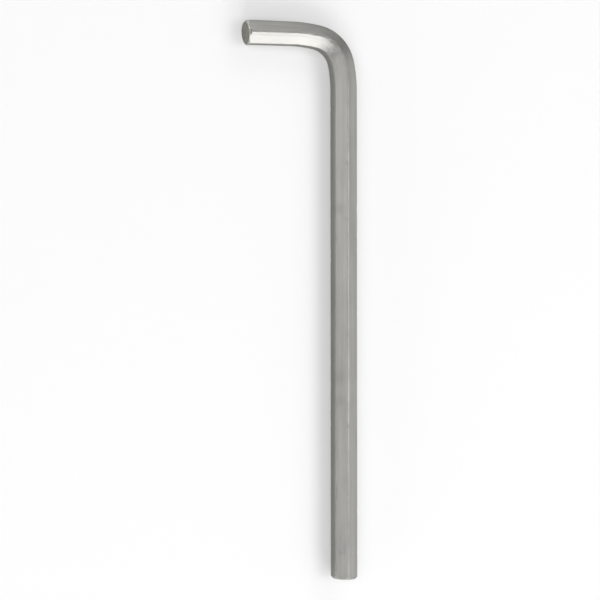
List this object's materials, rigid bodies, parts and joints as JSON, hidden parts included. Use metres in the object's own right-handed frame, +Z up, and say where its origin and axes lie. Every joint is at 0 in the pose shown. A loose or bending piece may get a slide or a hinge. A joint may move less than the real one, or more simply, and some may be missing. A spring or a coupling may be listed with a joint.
{
  "type": "hex key",
  "caption": "Long-arm L-shaped hex key: a satin steel hexagonal bar bent at a right angle, with chamfered ends that turn socket head screws.",
  "frame": {"origin": "bottom centre of the bounding box, on the surface that the key lies on", "axes": "+Z up, square to the plane of the bend; +Y along the long arm, towards the bend; the short arm points towards -X"},
  "size_m": [0.049, 0.234, 0.0113],
  "materials": {
    "steel": "satin grey, with fine lines drawn along the bar"
  },
  "bodies": {
    "root": {"hex_key": "steel"}
  },
  "joints": []
}
